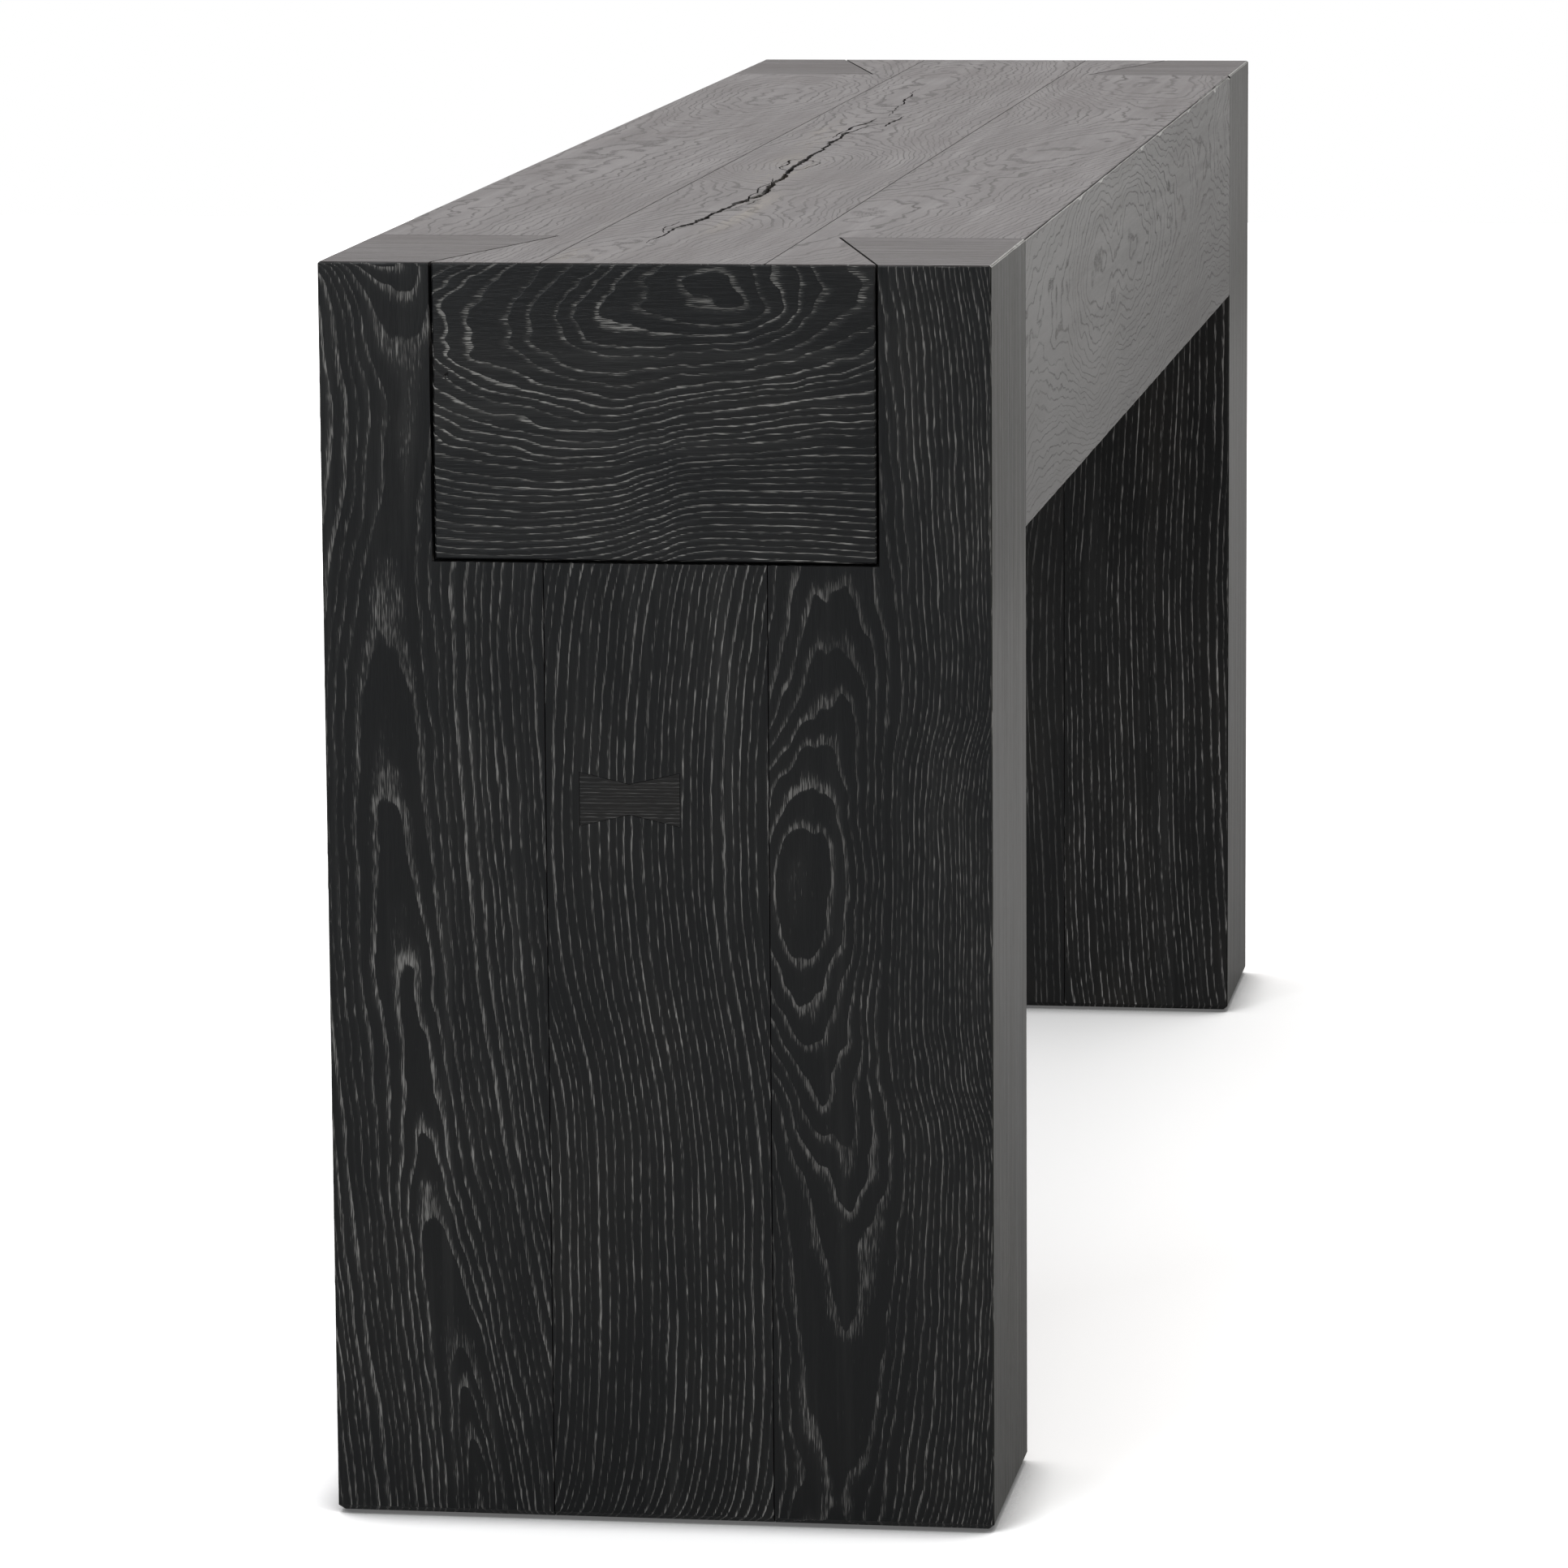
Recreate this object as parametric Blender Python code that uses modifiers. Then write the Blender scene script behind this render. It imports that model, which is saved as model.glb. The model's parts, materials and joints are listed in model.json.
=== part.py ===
"""Console table: a boxed oak beam dovetailed down into two boxed oak legs.

Frame: +X runs along the table, +Y to its rear, +Z up. The origin is on the floor, under
the middle of the table. "left" is the -X end and "front" the -Y side.
"""

import math

import bmesh
import bpy
from mathutils import Vector

# Driving dimensions, in metres
LENGTH = 1.800
DEPTH = 0.400
HEIGHT = 0.760
LEG = 0.176  # a leg's thickness along the table
BEAM = 0.176  # the beam's height
BOARD = 0.024  # every oak board
CORE_BOARD = 0.018  # ribs and bases

# The dovetail, as half widths across the table
TAIL_HALF = 0.132  # at the leg's outer face
NECK_HALF = 0.086  # at the leg's inner face, where the beam's shoulder is
TAIL_GAP = 0.0016  # the open line round the tail
CORE_REACH = 0.110  # how far the tail's core runs on into the beam

# Joints and edges
GLUE = 0.0003  # between glued faces
SEAM = 0.0006  # between the boards of one face
ARRIS = 0.0010  # the eased outer edges
FOOT_BEVEL = 0.0035  # the heavier bevel round the bottom of a leg

# Feet
CLEARANCE = 0.0020  # from the floor to the boards
BASE_RECESS = 0.0030  # from the boards' lower ends up to the base
GLIDE_RADIUS = 0.014
GLIDE_ROUND = 0.0008
NAIL_RADIUS = 0.0015
NAIL_REACH = 0.012
NAIL_HOLE = 0.0019
GLIDE_INSET = 0.060  # from a leg's side faces to a glide's centre
GLIDE_SPREAD = 0.040  # from a leg's middle to a glide's centre, along the table

# Butterfly key, let into the left leg's outer face
KEY_HALF_LENGTH = 0.030
KEY_HALF_END = 0.016
KEY_HALF_WAIST = 0.009
KEY_DEPTH = 0.009
KEY_Y = 0.0165
KEY_Z = 0.4415

PAST = 0.010  # how far a cutter runs past what it cuts
WELD = 0.000001  # points closer than this are one point
NAIL_SIDES = 12
GLIDE_SIDES = 24
RIB_X = (-0.525, -0.175, 0.175, 0.525)
LEG_RIB_Z = (0.200, 0.385)

# Places worked out from the driving dimensions
END = LENGTH / 2
SHOULDER = END - LEG
SIDE = DEPTH / 2
THIRD = DEPTH / 6
UNDERSIDE = HEIGHT - BEAM
TAPER = (TAIL_HALF - NECK_HALF) / LEG

X, Y, Z = Vector((1, 0, 0)), Vector((0, 1, 0)), Vector((0, 0, 1))
ENDS = {"left": -1, "right": 1}
SIDES = {"front": -1, "rear": 1}

for leftover in list(bpy.data.objects):
    bpy.data.objects.remove(leftover)


def collection(name):
    made = bpy.data.collections.new(name)
    bpy.context.scene.collection.children.link(made)
    return made


TABLE = collection("console_table")
CUTTERS = collection("cutters")


def material(name, colour, roughness):
    made = bpy.data.materials.new(name)
    made.use_nodes = True
    shader = made.node_tree.nodes["Principled BSDF"]
    shader.inputs["Base Color"].default_value = (*colour, 1)
    shader.inputs["Roughness"].default_value = roughness
    shader.inputs["Metallic"].default_value = 0
    return made


OAK = material("ebonised_oak", (0.020, 0.021, 0.022), 0.45)
KEY_OAK = material("ebonised_key_oak", (0.024, 0.024, 0.025), 0.55)
CORE = material("core_softwood", (0.55, 0.42, 0.27), 0.70)
NYLON = material("glide_nylon", (0.03, 0.03, 0.03), 0.50)


# ---- Shapes


def evaluated_mesh(piece):
    """A new mesh of the piece as its modifiers leave it."""
    bpy.context.view_layer.update()
    graph = bpy.context.evaluated_depsgraph_get()
    return bpy.data.meshes.new_from_object(piece.evaluated_get(graph))


def box(name, x, y, z, finish, where=None):
    """A squared piece that fills the three (low, high) ranges."""
    mesh = bpy.data.meshes.new(name)
    shape = bmesh.new()
    bmesh.ops.create_cube(shape, size=1)
    size = Vector([max(span) - min(span) for span in (x, y, z)])
    bmesh.ops.scale(shape, vec=size, verts=shape.verts)
    shape.to_mesh(mesh)
    shape.free()
    piece = bpy.data.objects.new(name, mesh)
    piece.location = [sum(span) / 2 for span in (x, y, z)]
    mesh.materials.append(finish)
    (where or TABLE).objects.link(piece)
    bpy.context.view_layer.update()
    return piece


def prism(name, outline, low, high, finish, along_x=False, where=None):
    """An outline with a thickness. It lies in X and Y and rises along Z.

    With along_x it lies in Y and Z and runs along X.
    """
    curve = bpy.data.curves.new(name, "CURVE")
    curve.dimensions = "2D"
    curve.fill_mode = "BOTH"
    curve.extrude = (high - low) / 2
    line = curve.splines.new("POLY")
    line.points.add(len(outline) - 1)
    for point, (across, up) in zip(line.points, outline):
        point.co = (across, up, 0, 1)
    line.use_cyclic_u = True
    guide = bpy.data.objects.new(name + "_outline", curve)
    CUTTERS.objects.link(guide)
    if along_x:
        guide.location = X * (low + high) / 2
        guide.rotation_euler = (math.pi / 2, 0, math.pi / 2)
    else:
        guide.location = Z * (low + high) / 2
    mesh = evaluated_mesh(guide)
    shape = bmesh.new()
    shape.from_mesh(mesh)
    bmesh.ops.remove_doubles(shape, verts=shape.verts, dist=WELD)
    bmesh.ops.recalc_face_normals(shape, faces=shape.faces)
    shape.to_mesh(mesh)
    shape.free()
    piece = bpy.data.objects.new(name, mesh)
    piece.matrix_world = guide.matrix_world
    bpy.data.objects.remove(guide)
    mesh.materials.clear()
    mesh.materials.append(finish)
    (where or TABLE).objects.link(piece)
    bpy.context.view_layer.update()
    return piece


def saw(piece, point, normal):
    """Saws the piece along a plane and closes the cut. The side that the normal points to falls away."""
    inverse = piece.matrix_world.inverted()
    shape = bmesh.new()
    shape.from_mesh(piece.data)
    bmesh.ops.bisect_plane(
        shape,
        geom=[*shape.verts, *shape.edges, *shape.faces],
        dist=WELD / 10,
        plane_co=inverse @ point,
        plane_no=inverse.to_3x3() @ normal,
        clear_outer=True,
    )
    open_edges = [edge for edge in shape.edges if edge.is_boundary]
    bmesh.ops.holes_fill(shape, edges=open_edges, sides=0)
    bmesh.ops.recalc_face_normals(shape, faces=shape.faces)
    shape.to_mesh(piece.data)
    shape.free()


def corner_at(face, other):
    """A point on the outer edge where two faces of a leg or of the beam meet, from their outward normals.

    Each normal is given with the distance of its face from the origin.
    """
    return face[0] * face[1] + other[0] * other[1]


def mitre(piece, face, other):
    """Mitres the piece, whose outer face is the first, against the board behind the other face."""
    normal = (other[0] - face[0]).normalized()
    saw(piece, corner_at(face, other) - normal * GLUE / 2, normal)


def ease(piece, face, other, width=ARRIS):
    """Takes the sharp edge off where two outer faces meet."""
    normal = (face[0] + other[0]).normalized()
    saw(piece, corner_at(face, other) - face[0] * width, normal)


def cut(piece, cutter):
    step = piece.modifiers.new("cut_" + cutter.name, "BOOLEAN")
    step.operation = "DIFFERENCE"
    step.object = cutter


def as_cutter(piece):
    piece.hide_render = True
    piece.display_type = "WIRE"
    return piece


def tail_half(distance):
    """The tail's half width at this distance from the table's middle."""
    return NECK_HALF + (distance - SHOULDER) * TAPER


def thirds(side):
    """The (low, high) range across the table of a face's front, centre or rear board."""
    if side == 0:
        return (-THIRD + SEAM / 2, THIRD - SEAM / 2)
    return tuple(sorted((side * SIDE, side * (THIRD + SEAM / 2))))


def span(sign, low, high):
    """A range of distances from the middle, on the side that sign gives."""
    return tuple(sorted((sign * low, sign * high)))


# The outer faces, each as its outward normal and its distance from the origin
TOP = (Z, HEIGHT)
BEAM_BOTTOM = (-Z, -UNDERSIDE)
LEG_BOTTOM = (-Z, -CLEARANCE)


def side_face(side):
    return (Y * side, SIDE)


def end_face(end):
    return (X * end, END)


def inner_face(end):
    return (X * -end, -SHOULDER)


# ---- Cutters


def tail_space(name, end):
    """The room that a tail takes in its leg, with the open line round it."""
    far, near = END + PAST, SHOULDER - PAST
    wide, narrow = tail_half(far) + TAIL_GAP, tail_half(near) + TAIL_GAP
    outline = [(end * far, -wide), (end * far, wide), (end * near, narrow), (end * near, -narrow)]
    low, high = UNDERSIDE - TAIL_GAP, HEIGHT + PAST
    return as_cutter(prism(name, outline, low, high, CORE, where=CUTTERS))


def head_space(name, end, side):
    """The room that a leg's head takes beside the tail."""
    far, near = END + PAST, SHOULDER - GLUE
    outside = side * (SIDE + PAST)
    outline = [
        (end * far, side * tail_half(far)),
        (end * far, outside),
        (end * near, outside),
        (end * near, side * tail_half(near)),
    ]
    low, high = UNDERSIDE - PAST, HEIGHT + PAST
    return as_cutter(prism(name, outline, low, high, CORE, where=CUTTERS))


TAIL_SPACE = {end: tail_space("tail_space_" + name, end) for name, end in ENDS.items()}
HEAD_SPACE = {
    (end, side): head_space(f"head_space_{end_name}_{side_name}", end, side)
    for end_name, end in ENDS.items()
    for side_name, side in SIDES.items()
}


# ---- Beam


def top_board(name, side):
    """A board of the top. It runs the whole length, and its ends are part of the tails."""
    board = box(name, (-END, END), thirds(side), (HEIGHT - BOARD, HEIGHT), OAK)
    if side:
        mitre(board, TOP, side_face(side))
        ease(board, TOP, side_face(side))
    for end in ENDS.values():
        mitre(board, TOP, end_face(end))
        ease(board, TOP, end_face(end))
        if side:
            cut(board, HEAD_SPACE[end, side])


def apron(name, side):
    reach = SHOULDER - GLUE
    board = box(name, (-reach, reach), span(side, SIDE - BOARD, SIDE), (UNDERSIDE, HEIGHT), OAK)
    for other in (TOP, BEAM_BOTTOM):
        mitre(board, side_face(side), other)
        ease(board, side_face(side), other)


def soffit_board(name, side):
    reach = SHOULDER - GLUE
    board = box(name, (-reach, reach), thirds(side), (UNDERSIDE, UNDERSIDE + BOARD), OAK)
    if side:
        mitre(board, BEAM_BOTTOM, side_face(side))
        ease(board, BEAM_BOTTOM, side_face(side))


def beam_rib(name, place):
    inside = SIDE - BOARD - GLUE
    thickness = (place - CORE_BOARD / 2, place + CORE_BOARD / 2)
    height = (UNDERSIDE + BOARD + GLUE, HEIGHT - BOARD - GLUE)
    box(name, thickness, (-inside, inside), height, CORE)


def tail_core(name, end):
    """The solid block inside a tail. It runs on into the beam, above the soffit."""
    far, inboard = END - BOARD - GLUE, SHOULDER - CORE_REACH
    half = tail_half(far)
    outline = [
        (end * far, -half),
        (end * far, half),
        (end * SHOULDER, NECK_HALF),
        (end * inboard, NECK_HALF),
        (end * inboard, -NECK_HALF),
        (end * SHOULDER, -NECK_HALF),
    ]
    block = prism(name, outline, UNDERSIDE, HEIGHT - BOARD - GLUE, CORE)
    step = box(
        name + "_step",
        span(end, inboard - PAST, SHOULDER),
        (-TAIL_HALF, TAIL_HALF),
        (UNDERSIDE - PAST, UNDERSIDE + BOARD + GLUE),
        CORE,
        CUTTERS,
    )
    cut(block, as_cutter(step))


def tail_cap(name, end):
    """The board on the end of a tail, with its grain across the table."""
    board = box(name, span(end, END - BOARD, END), (-TAIL_HALF, TAIL_HALF), (UNDERSIDE, HEIGHT), OAK)
    mitre(board, end_face(end), TOP)
    for other in (TOP, BEAM_BOTTOM):
        ease(board, end_face(end), other)
    for side in SIDES.values():
        slope = Vector((-end * TAPER, side, 0)).normalized()
        saw(board, Vector((end * END, side * TAIL_HALF, 0)), slope)
        ease(board, end_face(end), (Y * side, TAIL_HALF))


def beam():
    for name, side in (("front", -1), ("centre", 0), ("rear", 1)):
        top_board("top_board_" + name, side)
        soffit_board("soffit_board_" + name, side)
    for name, side in SIDES.items():
        apron("apron_" + name, side)
    for number, place in enumerate(RIB_X, 1):
        beam_rib(f"beam_rib_{number}", place)
    for name, end in ENDS.items():
        tail_core("tail_core_" + name, end)
        tail_cap("tail_cap_" + name, end)


# ---- Legs


def outer_board(name, end, side):
    top = HEIGHT if side else UNDERSIDE - TAIL_GAP
    board = box(name, span(end, END - BOARD, END), thirds(side), (CLEARANCE, top), OAK)
    ease(board, end_face(end), LEG_BOTTOM, FOOT_BEVEL)
    if side:
        for other in (side_face(side), TOP):
            mitre(board, end_face(end), other)
            ease(board, end_face(end), other)
        cut(board, TAIL_SPACE[end])
    return board


def inner_board(name, end, side):
    top = HEIGHT - BOARD - GLUE if side else UNDERSIDE - TAIL_GAP
    board = box(name, span(end, SHOULDER, SHOULDER + BOARD), thirds(side), (CLEARANCE, top), OAK)
    ease(board, inner_face(end), LEG_BOTTOM, FOOT_BEVEL)
    if side:
        mitre(board, inner_face(end), side_face(side))
        ease(board, inner_face(end), side_face(side))
        cut(board, TAIL_SPACE[end])


def side_board(name, end, side):
    board = box(name, span(end, SHOULDER, END), span(side, SIDE - BOARD, SIDE), (CLEARANCE, HEIGHT), OAK)
    ease(board, side_face(side), LEG_BOTTOM, FOOT_BEVEL)
    for other in (end_face(end), inner_face(end), TOP):
        mitre(board, side_face(side), other)
        ease(board, side_face(side), other)


def head_cap(name, end, side):
    """The board on top of a leg, beside the tail, with its grain across the table."""
    board = box(name, span(end, SHOULDER, END), span(side, NECK_HALF, SIDE), (HEIGHT - BOARD, HEIGHT), OAK)
    for other in (end_face(end), side_face(side)):
        mitre(board, TOP, other)
        ease(board, TOP, other)
    cut(board, TAIL_SPACE[end])


def hollow(end):
    """The (low, high) ranges, along and across the table, of the space between a leg's boards."""
    along = span(end, SHOULDER + BOARD + GLUE, END - BOARD - GLUE)
    return along, (-(SIDE - BOARD - GLUE), SIDE - BOARD - GLUE)


def socket_cheek(name, end, side):
    along, _ = hollow(end)
    across = span(side, NECK_HALF, SIDE - BOARD - GLUE)
    height = (UNDERSIDE - TAIL_GAP + GLUE, HEIGHT - BOARD - GLUE)
    cut(box(name, along, across, height, CORE), TAIL_SPACE[end])


def level_board(name, end, bottom, thickness):
    """A horizontal board that fills the leg's hollow."""
    return box(name, *hollow(end), (bottom, bottom + thickness), CORE)


def glide_places(end):
    middle = end * (END - LEG / 2)
    across = SIDE - GLIDE_INSET
    return [(middle + along * GLIDE_SPREAD, side * across) for along in (-1, 1) for side in (-1, 1)]


def base(name, end):
    board = level_board(name, end, CLEARANCE + BASE_RECESS, CORE_BOARD)
    for number, (x, y) in enumerate(glide_places(end), 1):
        mesh = bpy.data.meshes.new("nail_hole")
        shape = bmesh.new()
        bmesh.ops.create_cone(
            shape,
            cap_ends=True,
            segments=NAIL_SIDES,
            radius1=NAIL_HOLE,
            radius2=NAIL_HOLE,
            depth=CORE_BOARD + 2 * PAST,
        )
        shape.to_mesh(mesh)
        shape.free()
        hole = bpy.data.objects.new(f"{name}_nail_hole_{number}", mesh)
        hole.location = (x, y, CLEARANCE + BASE_RECESS + CORE_BOARD / 2)
        CUTTERS.objects.link(hole)
        cut(board, as_cutter(hole))


def glide(name, place):
    """A nailed nylon glide: a round pad with its nail up into the base."""
    pad_top = CLEARANCE + BASE_RECESS - GLUE
    profile = [
        (0, pad_top + NAIL_REACH),
        (NAIL_RADIUS, pad_top + NAIL_REACH),
        (NAIL_RADIUS, pad_top),
        (GLIDE_RADIUS, pad_top),
        (GLIDE_RADIUS, GLIDE_ROUND),
        (GLIDE_RADIUS - GLIDE_ROUND, 0),
        (0, 0),
    ]
    mesh = bpy.data.meshes.new(name)
    shape = bmesh.new()
    points = [shape.verts.new((radius, 0, height)) for radius, height in profile]
    for above, below in zip(points, points[1:]):
        shape.edges.new((above, below))
    shape.to_mesh(mesh)
    shape.free()
    mesh.materials.append(NYLON)
    piece = bpy.data.objects.new(name, mesh)
    piece.location = (*place, 0)
    TABLE.objects.link(piece)
    turn = piece.modifiers.new("turn", "SCREW")
    turn.steps = GLIDE_SIDES
    turn.render_steps = GLIDE_SIDES
    turn.use_merge_vertices = True
    turn.merge_threshold = WELD
    piece.data = evaluated_mesh(piece)
    piece.modifiers.clear()
    piece.data.shade_smooth()
    piece.data.set_sharp_from_angle(angle=math.radians(30))
    bpy.data.meshes.remove(mesh)
    piece.data.name = name


def leg(end_name, end):
    leg_name = end_name + "_leg_"
    for name, side in (("front", -1), ("centre", 0), ("rear", 1)):
        board = outer_board(leg_name + "outer_" + name, end, side)
        inner_board(leg_name + "inner_" + name, end, side)
        if end_name == "left" and side == 0:
            butterfly_key(board, end)
    for name, side in SIDES.items():
        side_board(leg_name + "side_" + name, end, side)
        head_cap(leg_name + "cap_" + name, end, side)
        socket_cheek(leg_name + "cheek_" + name, end, side)
    level_board(leg_name + "socket_floor", end, UNDERSIDE - TAIL_GAP - BOARD, BOARD)
    for number, height in enumerate(LEG_RIB_Z, 1):
        level_board(f"{leg_name}rib_{number}", end, height, CORE_BOARD)
    base(leg_name + "base", end)
    for number, place in enumerate(glide_places(end), 1):
        glide(f"{leg_name}glide_{number}", place)


# ---- Butterfly key


def butterfly(margin):
    """A butterfly's outline across and up the leg's face, this much larger all round."""
    length, ends, waist = KEY_HALF_LENGTH + margin, KEY_HALF_END + margin, KEY_HALF_WAIST + margin
    outline = [(-length, -ends), (0, -waist), (length, -ends), (length, ends), (0, waist), (-length, ends)]
    return [(KEY_Y + across, KEY_Z + up) for across, up in outline]


def butterfly_key(board, end):
    low, high = span(end, END - KEY_DEPTH, END)
    prism("butterfly_key", butterfly(0), low, high, KEY_OAK, along_x=True)
    low, high = span(end, END - KEY_DEPTH - GLUE, END + PAST)
    pocket = prism("key_pocket", butterfly(GLUE), low, high, CORE, along_x=True, where=CUTTERS)
    cut(board, as_cutter(pocket))


beam()
for end_name, end in ENDS.items():
    leg(end_name, end)
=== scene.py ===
import json
import math

import bmesh
import bpy
from mathutils import Matrix, Vector, noise


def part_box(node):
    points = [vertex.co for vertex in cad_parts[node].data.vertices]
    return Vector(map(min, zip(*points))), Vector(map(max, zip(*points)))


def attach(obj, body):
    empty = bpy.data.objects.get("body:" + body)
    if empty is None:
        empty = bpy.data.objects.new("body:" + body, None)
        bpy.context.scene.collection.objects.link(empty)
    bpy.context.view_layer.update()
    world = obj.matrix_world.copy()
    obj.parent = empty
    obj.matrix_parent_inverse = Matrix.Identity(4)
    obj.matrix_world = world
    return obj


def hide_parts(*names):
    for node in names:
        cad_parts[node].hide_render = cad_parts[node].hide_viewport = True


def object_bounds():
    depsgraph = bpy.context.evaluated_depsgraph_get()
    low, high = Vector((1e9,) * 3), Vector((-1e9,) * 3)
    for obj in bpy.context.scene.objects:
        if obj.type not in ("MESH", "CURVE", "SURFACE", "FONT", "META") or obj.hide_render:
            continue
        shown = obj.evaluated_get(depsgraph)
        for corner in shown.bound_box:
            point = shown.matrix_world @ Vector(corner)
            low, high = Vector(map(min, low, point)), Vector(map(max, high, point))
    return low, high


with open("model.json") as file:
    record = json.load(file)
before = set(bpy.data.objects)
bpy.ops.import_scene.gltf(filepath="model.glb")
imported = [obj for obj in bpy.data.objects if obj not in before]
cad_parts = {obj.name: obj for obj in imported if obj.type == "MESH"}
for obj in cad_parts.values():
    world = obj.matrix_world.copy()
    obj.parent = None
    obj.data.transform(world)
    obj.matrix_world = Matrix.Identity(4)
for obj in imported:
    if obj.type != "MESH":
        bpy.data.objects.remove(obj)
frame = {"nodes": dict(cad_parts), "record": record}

cadLow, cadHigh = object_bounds()
sideY, topZ = cadHigh.y, cadHigh.z
tiny = 0.00001  # metres, under which two places are the same
print("frame loaded:", len(frame["nodes"]), "nodes")


# The camera, the floor and the light. Lengths are metres, +X is the far end and -Y the front.

studio = {
    "cameraPlace": (-5.1675, -0.7034, 1.1626),
    "cameraTurn": (80.651, 0.399, -81.702),  # degrees
    "lens": 169.9,
    "sensor": 36,
    "floorSize": 16,
    "floorLit": 1.62,
    "contact": 0.055,  # how far from the feet their close shadow reaches
    "contactShade": (0.30, 0.82),
    "paintedShadowColour": (0.04, 0.04, 0.04),
    "floorGlow": 0.12,
    "floorFade": (1.9, 4.2),  # how far out the floor turns into the background
    "floorSeenByWood": 0.44,
    "skyBack": 0.835,  # the wall behind the far end, which the top mirrors
    "skyRight": 0.33,  # how much of that light is left at the right, which the long side mirrors
    "backTint": (1.0, 0.955, 0.955),
    "rightTint": (1.0, 1.0, 0.975),
    "skyFront": 0.115,  # the room behind the camera
    "skyTop": 0.45,
    "backFade": (-0.3, 0.9),
    "topFade": (0.25, 0.9),
    "rightFade": (-0.22, 0.10),
}

softboxes = {
    "keyLeft": {
        "place": (-4.4, 1.9, 2.3),
        "target": (-0.9, 0.0, 0.45),
        "size": (2.2, 2.2),
        "power": 84,
        "colour": (0.93, 0.97, 1.0),
    },
    "keyRight": {
        "place": (-3.2, -3.6, 1.9),
        "target": (-0.9, -0.2, 0.4),
        "size": (2.2, 2.2),
        "power": 54,
        "colour": (1.0, 0.99, 0.97),
    },
    "sheenRight": {
        "place": (4.6, -2.2, 1.0),
        "target": (0.0, -0.2, 0.5),
        "size": (1.4, 2.2),
        "power": 10,
        "colour": (1.0, 0.99, 0.97),
    },
    "overhead": {
        "place": (0.4, 0.0, 3.6),
        "target": (0.0, 0.0, 0.0),
        "size": (3.4, 3.4),
        "power": 60,
        "colour": (1.0, 1.0, 1.0),
    },
}


def addCamera():
    lensData = bpy.data.cameras.new("camera")
    lensData.lens = studio["lens"]
    lensData.sensor_width = studio["sensor"]
    lensData.clip_start = 0.1
    lensData.clip_end = 200
    camera = bpy.data.objects.new("camera", lensData)
    camera.location = studio["cameraPlace"]
    camera.rotation_euler = [math.radians(turn) for turn in studio["cameraTurn"]]
    bpy.context.scene.collection.objects.link(camera)
    bpy.context.scene.camera = camera


def addSoftbox(name, settings):
    light = bpy.data.lights.new(name, "AREA")
    light.shape = "RECTANGLE"
    light.size, light.size_y = settings["size"]
    light.energy = settings["power"]
    light.color = settings["colour"]
    box = bpy.data.objects.new(name, light)
    box.location = settings["place"]
    way = Vector(settings["target"]) - Vector(settings["place"])
    box.rotation_euler = way.to_track_quat("-Z", "Y").to_euler()
    box.visible_camera = False
    bpy.context.scene.collection.objects.link(box)


# Short ways to write shader nodes. A value may be a number, a colour or another node's socket.

def feed(tree, node, socket, value):
    if isinstance(value, bpy.types.NodeSocket):
        tree.links.new(value, node.inputs[socket])
    else:
        node.inputs[socket].default_value = value


def put(tree, kind, inputs=None, **settings):  # one node, with its settings and what goes into it
    made = tree.nodes.new(kind)
    for name, value in settings.items():
        setattr(made, name, value)
    for socket, value in (inputs or {}).items():
        feed(tree, made, socket, value)
    return made


def calc(tree, operation, *values, clamp=False):
    inputs = dict(enumerate(values))
    return put(tree, "ShaderNodeMath", inputs, operation=operation, use_clamp=clamp).outputs[0]


def fade(tree, value, low, high, toLow=0.0, toHigh=1.0):  # a smooth step
    inputs = {"Value": value, "From Min": low, "From Max": high, "To Min": toLow, "To Max": toHigh}
    made = put(tree, "ShaderNodeMapRange", inputs, interpolation_type="SMOOTHSTEP")
    return made.outputs["Result"]


def mixed(tree, share, first, second):  # two numbers mixed
    return put(tree, "ShaderNodeMix", {"Factor": share, "A": first, "B": second}).outputs[0]


def blend(tree, share, first, second):  # two colours mixed
    first, second = ((*c, 1) if isinstance(c, tuple) else c for c in (first, second))
    inputs = {"Factor": share, "A": first, "B": second}
    return put(tree, "ShaderNodeMix", inputs, data_type="RGBA").outputs["Result"]


def vectorCalc(tree, operation, *values):
    return put(tree, "ShaderNodeVectorMath", dict(enumerate(values)), operation=operation)


def objectPlace(tree):
    return put(tree, "ShaderNodeTexCoord").outputs["Object"]


def splitPlace(tree, place):
    return put(tree, "ShaderNodeSeparateXYZ", {0: place}).outputs


def addSky():
    sky = bpy.data.worlds.new("studioSky")
    sky.use_nodes = True
    bpy.context.scene.world = sky
    tree = sky.node_tree
    tree.nodes.clear()
    way = splitPlace(tree, put(tree, "ShaderNodeTexCoord").outputs["Generated"])
    back = fade(tree, way["X"], *studio["backFade"])
    up = fade(tree, way["Z"], *studio["topFade"])
    rightDim = fade(tree, way["Y"], *studio["rightFade"], studio["skyRight"], 1.0)
    level = mixed(tree, back, studio["skyFront"], studio["skyBack"])
    level = calc(tree, "MULTIPLY", level, rightDim)
    level = mixed(tree, up, level, studio["skyTop"])
    seen = put(tree, "ShaderNodeLightPath").outputs["Is Camera Ray"]
    level = mixed(tree, seen, level, 1.0)
    tint = blend(tree, rightDim, studio["rightTint"], studio["backTint"])
    tint = blend(tree, seen, tint, (1, 1, 1))
    glow = put(tree, "ShaderNodeBackground", {"Color": tint, "Strength": level})
    put(tree, "ShaderNodeOutputWorld", {"Surface": glow.outputs[0]})


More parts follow.
